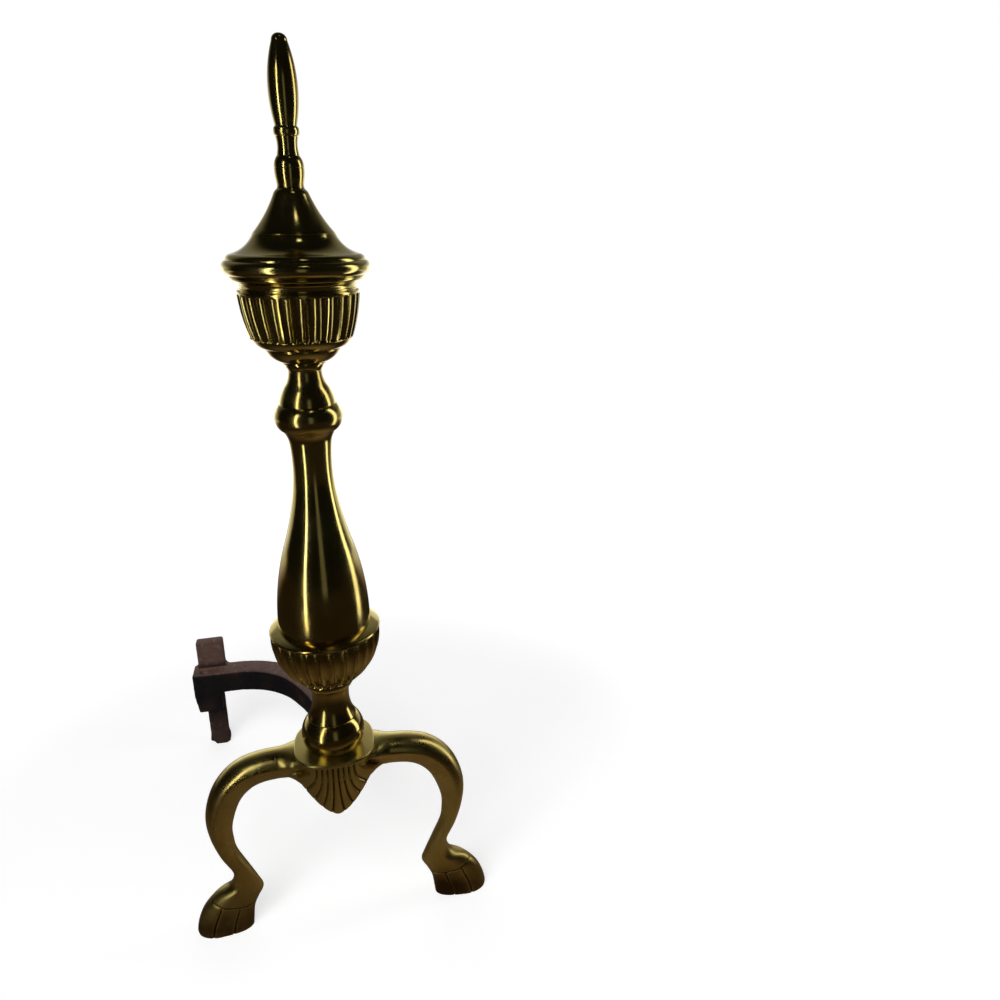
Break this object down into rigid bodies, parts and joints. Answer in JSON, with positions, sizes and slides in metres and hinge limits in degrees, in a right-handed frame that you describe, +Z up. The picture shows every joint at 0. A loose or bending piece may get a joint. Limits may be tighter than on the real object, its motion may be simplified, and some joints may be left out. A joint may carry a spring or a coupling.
{
  "type": "andiron",
  "caption": "Andiron with a turned and fluted brass column under an urn and spindle finial, cabriole legs with hoofed feet, a shell apron and a curved iron log bar.",
  "frame": {"origin": "on the floor, under the centre of the whole andiron's bounding box", "axes": "+Z up along the column, -Y towards the room, +Y back along the log bar, whose rear end swings to -X"},
  "size_m": [0.2274, 0.2637, 0.56],
  "materials": {
    "turned_brass": "polished, aged, with dark tarnish in the grooves and flutes",
    "cast_brass": "polished casting, satin where the hand doesn't reach",
    "black_iron": "blackened, with grey-brown rust on the upward faces",
    "rod_steel": "plain steel, dull"
  },
  "bodies": {
    "root": {"leg_casting": "cast_brass", "ball_knop": "turned_brass", "lower_neck": "turned_brass", "lower_cup": "turned_brass", "baluster": "turned_brass", "urn_neck": "turned_brass", "urn_bowl": "turned_brass", "urn_lid": "turned_brass", "lid_cone": "turned_brass", "finial": "turned_brass", "tie_rod": "rod_steel", "tie_rod_washer": "rod_steel", "tie_rod_lock_washer": "rod_steel", "tie_rod_nut": "rod_steel", "log_bar": "black_iron", "rear_leg": "black_iron"}
  },
  "joints": []
}
